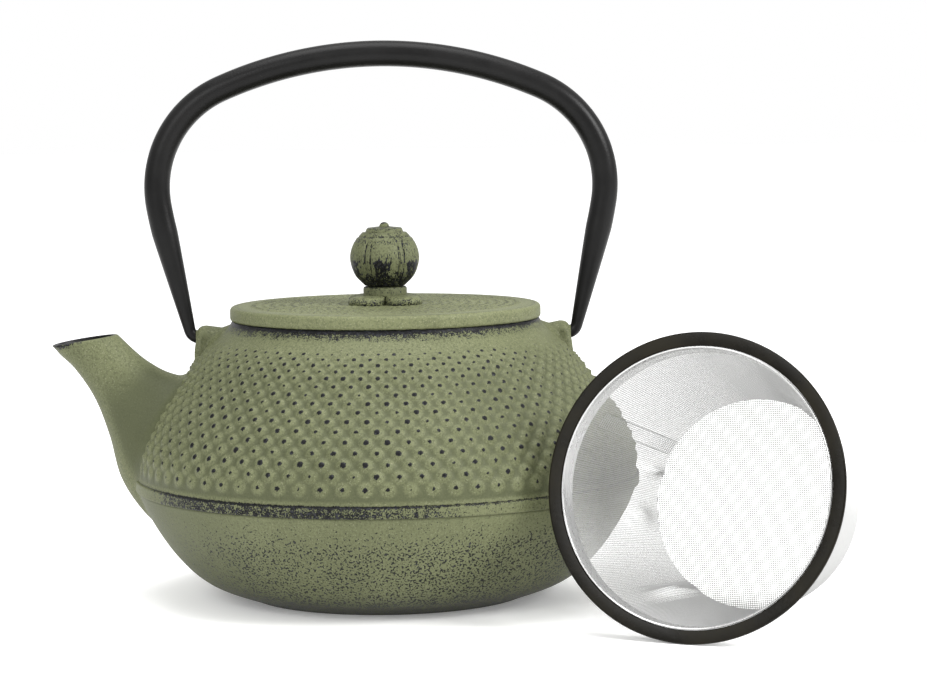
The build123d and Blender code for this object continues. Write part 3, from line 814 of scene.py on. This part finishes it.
def handle_line():
    """Right half of the tube's centreline with its radius: (x, z, radius)."""
    x, z, heading = 0.0, APEX_Z, 0.0
    line = [(x, z, TUBE_R)]
    for (radius, turn), steps in zip(HANDLE_BENDS, BEND_STEPS):
        share = radians(turn) / steps
        for _ in range(steps):
            x += 2 * radius * sin(share / 2) * cos(heading + share / 2)
            z -= 2 * radius * sin(share / 2) * sin(heading + share / 2)
            heading += share
            line.append((x, z, TUBE_R))
    lean = heading - pi / 2
    end_z = PIVOT[2] + HOOK_BEND_R * (1 - sin(lean))
    run = (z - end_z) / cos(lean)
    for share in np.linspace(0, 1, TAPER_STEPS + 1)[1:]:
        line.append((x - run * share * sin(lean), z - run * share * cos(lean),
                     TUBE_R + (PIN_R - TUBE_R) * share ** 1.06))
    x, z, _ = line[-1]
    share = (pi - heading) / HOOK_STEPS
    for _ in range(HOOK_STEPS):
        x += 2 * HOOK_BEND_R * sin(share / 2) * cos(heading + share / 2)
        z -= 2 * HOOK_BEND_R * sin(share / 2) * sin(heading + share / 2)
        heading += share
        line.append((x, z, PIN_R))
    for share in (0.5, 0.9, 0.97, 1.0):
        swell = 1 if share < 0.95 else 1.28 - 0.3 * share ** 8
        line.append((x - PIN_LENGTH * share, z, PIN_R * swell))
    return line


def handle_piece():
    """Tube swept along the centreline and its mirror image, closed at both pins."""
    right = np.array(handle_line())
    left = right[:0:-1].copy()
    left[:, 0] *= -1
    line = np.vstack([left, right])
    line[:, 0] += PIVOT[0]
    ahead = np.gradient(line[:, :2], axis=0)
    ahead /= np.linalg.norm(ahead, axis=1)[:, None]
    across = np.stack([-ahead[:, 1], ahead[:, 0]], 1)
    columns = 48
    angle = np.linspace(0, 2 * pi, columns, endpoint=False)
    radius = line[:, 2:3]
    points = np.stack([line[:, :1] + across[:, :1] * radius * np.cos(angle),
                       radius * np.sin(angle),
                       line[:, 1:2] + across[:, 1:] * radius * np.cos(angle)], -1)
    faces = grid_faces(len(line), columns, flip=True)
    last = len(line) * columns
    faces.append(tuple(range(columns)))
    faces.append(tuple(range(last - columns, last))[::-1])
    add_mesh("handle_tube", points, faces, "handle", HANDLE_PAINT,
             ("handle_bail",))


# ---- Infuser ---------------------------------------------------------------------------
LEAN = atan2(RIM_R - FLOOR_R, BASKET_H - RIM_H)
ACROSS = -np.array(TIP_AXIS)
BACK = np.array([-ACROSS[1], ACROSS[0], 0.0])
UP = BACK * sin(LEAN) + np.array([0, 0, cos(LEAN)])
AXIS = np.array([0, 0, sin(LEAN)]) - BACK * cos(LEAN)


def laid(points):
    """Standing infuser coordinates into the lying infuser's place."""
    p = np.asarray(points, float)
    return (np.array(INFUSER_FOOT) + p[..., :1] * ACROSS + (p[..., 1:2] + FLOOR_R) * UP
            + p[..., 2:] * AXIS)


def infuser_wall_r(z):
    """Radius of the mesh wall at a height above the infuser's floor."""
    return FLOOR_R + (RIM_INNER_R - FLOOR_R) * z / (BASKET_H - RIM_H)


def rim_piece():
    """Flange with a rounded bead outside and a small step to the steel inside."""
    top, low = BASKET_H, BASKET_H - RIM_H
    outline = rounded([(RIM_INNER_R, low), (RIM_R, low), (RIM_R, top),
                       (RIM_INNER_R + 0.15, top - 0.25)], [0.2, 0.62, 0.66, 0.25], 7)
    outline = np.vstack([outline, outline[:1]])
    points = laid(turned_grid(outline, 288))
    # the flange takes the painted reflection
    add_mesh("rim_flange", points, grid_faces(len(outline), 288), "infuser",
             RIM_PAINTED_REFLECTION, ("infuser_rim",))


def collar_piece():
    """Bright sheet ring that clamps the mesh under the rim, with a rolled inner lip."""
    top = BASKET_H - 0.15
    low = BASKET_H - RIM_H - COLLAR_H
    lip = RIM_INNER_R - 0.05
    outline = [(infuser_wall_r(low) - 0.62, low), (lip - 0.95, top - 1.6), (lip - 0.55, top - 0.25),
               (lip - 0.2, top), (lip, top - 0.3), (lip, top - 1.2),
               (infuser_wall_r(low) + 0.05, low + 0.3), (infuser_wall_r(low) - 0.1, low)]
    outline = rounded(outline, [0.1, 0.5, 0.2, 0.15, 0.15, 0.5, 0.1, 0.05], 4)
    outline = np.vstack([outline, outline[:1]])
    points = laid(turned_grid(outline, 240))
    add_mesh("collar_ring", points, grid_faces(len(outline), 240), "infuser",
             COLLAR_STEEL, ("infuser_collar",))


WIRE_PITCH = 0.62
WIRE_R = 0.091
WALL_INSET = 0.25          # the wires' middle inside the wall's radius
ABOVE = WIRE_R * 1.2       # a crossing layer's offset from the first


def wires(name, paths, replaces, closed=False, material=WIRE_STEEL):
    """Square-section wires along many paths, each an array of points with outward vectors."""
    verts, faces = [], []
    for path, outward in paths:
        ahead = np.roll(path, -1, 0) - np.roll(path, 1, 0) if closed else np.gradient(path, axis=0)
        ahead /= np.linalg.norm(ahead, axis=1)[:, None]
        side = np.cross(ahead, outward)
        side /= np.linalg.norm(side, axis=1)[:, None]
        over = np.cross(side, ahead)
        first = len(verts)
        for point, s, o in zip(path, side * WIRE_R, over * WIRE_R):
            verts += [point + s, point + o, point - s, point - o]
        rows = len(path)
        for i in range(rows if closed else rows - 1):
            low, high = first + i * 4, first + (i + 1) % rows * 4
            for c in range(4):
                d = (c + 1) % 4
                faces.append((low + c, low + d, high + d, high + c))
        if not closed:
            last = first + (rows - 1) * 4
            faces.append((first, first + 3, first + 2, first + 1))
            faces.append((last, last + 1, last + 2, last + 3))
    add_mesh(name, laid(np.array(verts)), faces, "infuser", material, replaces,
             smooth=False)


def round_path(r, angle, z):
    """Path at radius r, angle and height z about the infuser's axis, with outward vectors."""
    out = np.stack(np.broadcast_arrays(np.cos(angle), np.sin(angle), 0 * z), 1)
    return np.stack(np.broadcast_arrays(r * np.cos(angle), r * np.sin(angle), z), 1), out


# creases pressed into the wall: angle, height, depth, half width in radians, half height
DENTS = [(radians(165), 9.0, 2.0, 0.05, 8.0), (radians(190), 14.0, 1.6, 0.10, 9.0),
         (radians(236), 20.0, 2.4, 0.06, 15.0), (radians(52), 26.0, 2.2, 0.22, 14.0)]


def dent(angle, z):
    """How far the creases push the mesh wall inwards."""
    pushed = 0
    for middle, height, deep, wide, tall in DENTS:
        far = ((angle - middle) / wide) ** 2 + ((z - height) / tall) ** 2
        pushed = pushed + deep * np.exp(-far)
    return pushed


def mesh_wall():
    """Upright wires, and hoops outside them."""
    low, high = SHEET * 0.5, BASKET_H - RIM_H - COLLAR_H + 1.0
    uprights = int(2 * pi * 38.0 / WIRE_PITCH)
    z = np.linspace(low, high, 16)
    paths = []
    for i in range(uprights):
        angle = 2 * pi * i / uprights
        paths.append(round_path(infuser_wall_r(z) - WALL_INSET - dent(angle, z), angle, z))
    wires("wall_uprights", paths, ("infuser_wall",))
    hoops = int((high - low) / WIRE_PITCH)
    angle = np.linspace(0, 2 * pi, 144, endpoint=False)
    paths = []
    for i in range(hoops):
        z = low + (high - low) * (i + 0.5) / hoops
        r = infuser_wall_r(z) - WALL_INSET - dent(angle, z) + ABOVE
        paths.append(round_path(r, angle, z))
    wires("wall_hoops", paths, ("infuser_wall",), closed=True)


def mesh_floor():
    """Two crossing layers of straight wires."""
    paths = []
    reach = FLOOR_R - 0.15
    count = int(2 * reach / WIRE_PITCH)
    for z, along in ((0.25, 1), (0.25 + WIRE_R * 1.8, 0)):
        for i in range(count + 1):
            offset = -reach + 2 * reach * i / count
            half = sqrt(max(reach ** 2 - offset ** 2, 0.3))
            path = np.full((6, 3), z)
            path[:, along] = np.linspace(-half, half, 6)
            path[:, 1 - along] = offset
            paths.append((path, np.repeat([[0.0, 0.0, 1.0]], 6, 0)))
    # the floor wires take the darker copy of the steel, painted shade
    wires("floor_wires", paths, ("infuser_floor",), material=FLOOR_WIRE_SHADED_STEEL)


def seam_piece():
    """Lapped strip along the wall's weld: two long wires with cross wires between them."""
    middle, half_width, low, high, inset = radians(150.0), 2.4, 1.8, 51.4, 0.45
    z = np.linspace(low, high, 14)
    r = infuser_wall_r(z) - inset
    paths = [round_path(r, middle + offset / r, z) for offset in (-half_width, half_width)]
    for z in np.arange(low, high, 2 * WIRE_PITCH):
        r = infuser_wall_r(z) - inset + ABOVE
        angle = middle + np.linspace(-half_width, half_width, 6) / r
        paths.append(round_path(r, angle, z))
    wires("wall_seam", paths, ("infuser_seam",))


# ---- Stage, light and camera -----------------------------------------------------------
def stage():
    """White floor that glows a little, so that shadows on it stay faint."""
    material = Nodes("pale_floor")
    away = material.node("ShaderNodeVectorMath", {"operation": "LENGTH"})
    material.feed(away.inputs[0], material.place)
    tone = material.blend(material.step(away.outputs["Value"], 0.35, 1.1), (0.93, 0.93, 0.925, 1),
                          (0.99, 0.99, 0.99, 1))
    material.finish(Base_Color=tone, Roughness=0.9, Specular_IOR_Level=0.1,
                    Emission_Color=(1.0, 1.0, 1.0, 1), Emission_Strength=0.18)
    mesh = bpy.data.meshes.new("floor")
    reach = 6.0
    corners = [(-reach, -reach, 0), (reach, -reach, 0), (reach, reach, 0), (-reach, reach, 0)]
    mesh.from_pydata(corners, [], [(0, 1, 2, 3)])
    mesh.materials.append(material.material)
    floor = bpy.data.objects.new("floor", mesh)
    bpy.context.scene.collection.objects.link(floor)


CENTRE = np.array([0.0, 0.0, 0.08])
LIGHTS = [("key", (1.00, -0.55, 0.70), 0.5, 16.0), ("fill", (-0.55, -1.0, 0.65), 0.5, 5.5),
          ("top", (0.0, -0.1, 1.2), 0.8, 11.0)]


def soft_light(name, place, size, power):
    """Square lamp in metres and watts that faces the pot."""
    light = bpy.data.lights.new(name, "AREA")
    light.shape = "RECTANGLE"
    light.size, light.size_y = size, size
    light.energy = power
    lamp = bpy.data.objects.new(name, light)
    lamp.location = place
    toward = np.array(place) - CENTRE
    toward /= np.linalg.norm(toward)
    right = np.cross([0, 0, 1], toward)
    right /= np.linalg.norm(right)
    aim = Matrix(np.stack([right, np.cross(toward, right), toward], 1).tolist())
    lamp.rotation_euler = aim.to_euler()
    bpy.context.scene.collection.objects.link(lamp)


def lighting():
    """White surroundings and three soft lamps."""
    world = bpy.data.worlds.new("studio")
    bpy.context.scene.world = world
    world.use_nodes = True
    world.node_tree.nodes["Background"].inputs["Color"].default_value = (1.0, 1.0, 1.0, 1)
    world.node_tree.nodes["Background"].inputs["Strength"].default_value = 1.0
    for lamp in LIGHTS:
        soft_light(*lamp)


def camera():
    """Camera about a metre in front, a little above the handle's pivot."""
    yaw, pitch, roll = radians(1.47), radians(5.19), radians(-0.73)
    forward = np.array([sin(yaw) * cos(pitch), cos(yaw) * cos(pitch), -sin(pitch)])
    right = np.array([cos(yaw), -sin(yaw), 0.0])
    up = np.cross(right, forward)
    turned_right = cos(roll) * right + sin(roll) * up
    turned_up = cos(roll) * up - sin(roll) * right
    turn = Matrix(np.stack([turned_right, turned_up, -forward], 1).tolist())
    data = bpy.data.cameras.new("camera")
    data.sensor_width = 36.0
    data.lens = 117.7
    data.clip_end = 50.0
    eye = bpy.data.objects.new("camera", data)
    eye.location = (0.0, -1.0, 0.1711)
    eye.rotation_euler = turn.to_euler()
    bpy.context.scene.collection.objects.link(eye)
    bpy.context.scene.camera = eye


shoulder_piece("pot_shoulder_front", -pi)
shoulder_piece("pot_shoulder_back", 0.0)
lower_piece()
inside_piece()
spout_pieces()
lug_piece("pot_lug_right", 1)
lug_piece("pot_lug_left", -1)
lid_pieces()
plinth_piece()
neck_piece()
ball_piece()
cap_piece()
rivet_piece()
handle_piece()
rim_piece()
collar_piece()
mesh_wall()
mesh_floor()
seam_piece()
stage()
lighting()
camera()
for carried in bpy.data.objects:
    if carried.name.startswith("rivet_washer"):
        for slot in carried.material_slots:
            slot.material = PLAIN_STEEL
bpy.context.scene.view_settings.view_transform = "Standard"
